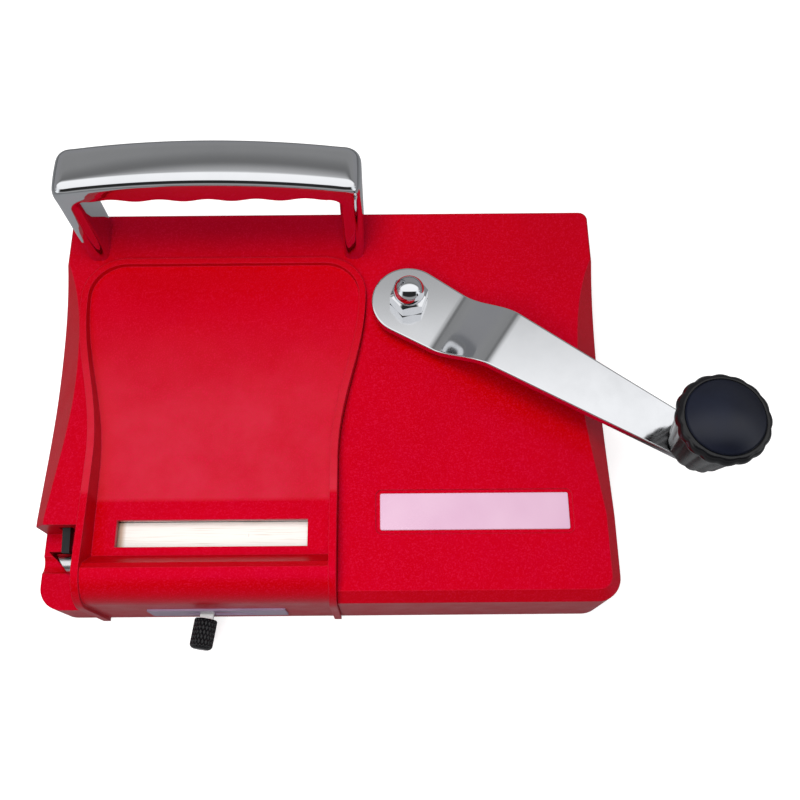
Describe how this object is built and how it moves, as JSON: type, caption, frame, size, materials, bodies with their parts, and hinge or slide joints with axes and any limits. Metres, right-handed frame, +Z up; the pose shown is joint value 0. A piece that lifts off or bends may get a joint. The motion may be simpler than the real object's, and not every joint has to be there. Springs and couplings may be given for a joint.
{
  "type": "tabletop crank-operated tube filling machine",
  "caption": "Tabletop tube-filling machine: red moulded housing, sloping hopper tray with feed slot, cranked arm with turning knob, carry handle, side nozzle and front density lever.",
  "frame": {"origin": "on the table under the middle of the housing's footprint, at the face of the middle foot", "axes": "+X to the operator's right along the long side, +Y to the back, +Z up"},
  "size_m": [0.2869, 0.1955, 0.1043],
  "materials": {
    "red_shell": "fine moulded grain",
    "chrome": "polished plating",
    "black_grip": "glossy flutes, satin cap",
    "black_matte": "satin",
    "plate_lilac": "printed foil, blank",
    "label_blue": "satin film",
    "steel": "brushed",
    "dark_steel": "black enamel",
    "aluminium": "brushed along the slot",
    "bronze": "plain bearing bronze",
    "rubber": "matt",
    "guide_plastic": "natural acetal"
  },
  "bodies": {
    "root": {"housing": "red_shell", "hopper_cover": "red_shell", "name_plate": "plate_lilac", "front_label": "label_blue", "base_plate": "dark_steel", "rubber_feet": "rubber", "base_screws": "steel", "chassis_plate": "steel", "chassis_posts": "steel", "cover_screws": "steel", "carry_handle": "chrome", "handle_screws": "steel", "lower_bush": "bronze", "middle_bush": "bronze", "upper_bush": "bronze", "rack_guides": "guide_plastic", "chamber_block": "aluminium", "nozzle": "steel", "link_guide_pins": "steel", "lever_post": "steel", "lever_clip": "steel", "clamp_pin": "steel", "clamp_spring": "steel"},
    "crank": {"crank_shaft": "steel", "shaft_collar": "chrome", "drive_pinion": "steel", "cam_disc": "steel", "crank_arm": "chrome", "domed_nut": "chrome", "knob_spindle": "steel", "knob_retaining_ring": "steel"},
    "knob": {"crank_knob": "black_grip", "knob_cap": "black_grip"},
    "carriage": {"rack": "steel", "carriage_plate": "steel", "carriage_screws": "steel", "spoon": "steel"},
    "compactor": {"compactor_link": "steel", "compactor_blade": "aluminium", "blade_screws": "steel", "follower_pin": "steel"},
    "lever": {"density_lever": "steel", "lever_grip": "black_matte"},
    "clamp": {"tube_clamp": "black_matte"}
  },
  "joints": [
    {"name": "crank_turn", "type": "hinge", "parent": "root", "child": "crank", "pos_m": [0.0357, 0.0389, 0.05], "axis": [0, 0, -1], "range_deg": [0, 145]},
    {"name": "knob_spin", "type": "hinge", "parent": "crank", "child": "knob", "pos_m": [0.14909, -0.03251, 0.08], "axis": [0, 0, 1], "continuous": true},
    {"name": "carriage_slide", "type": "slide", "parent": "root", "child": "carriage", "axis": [-1, 0, 0], "range_m": [0, 0.0715]},
    {"name": "compactor_slide", "type": "slide", "parent": "root", "child": "compactor", "axis": [0, -1, 0], "range_m": [0, 0.0118]},
    {"name": "lever_swing", "type": "hinge", "parent": "root", "child": "lever", "pos_m": [-0.0455, -0.054, 0.0175], "axis": [0, 0, 1], "range_deg": [-5.5, 22]},
    {"name": "clamp_tilt", "type": "hinge", "parent": "root", "child": "clamp", "pos_m": [-0.1081, -0.047, 0.034], "axis": [1, 0, 0], "range_deg": [0, 4], "stiffness_Nm_per_rad": 0.02}
  ],
  "couplings": [
    {"joint": "carriage_slide", "follows": "crank_turn", "m_per_rad": 0.028},
    {"joint": "compactor_slide", "follows": "crank_turn", "m_per_rad": 0.0046}
  ]
}
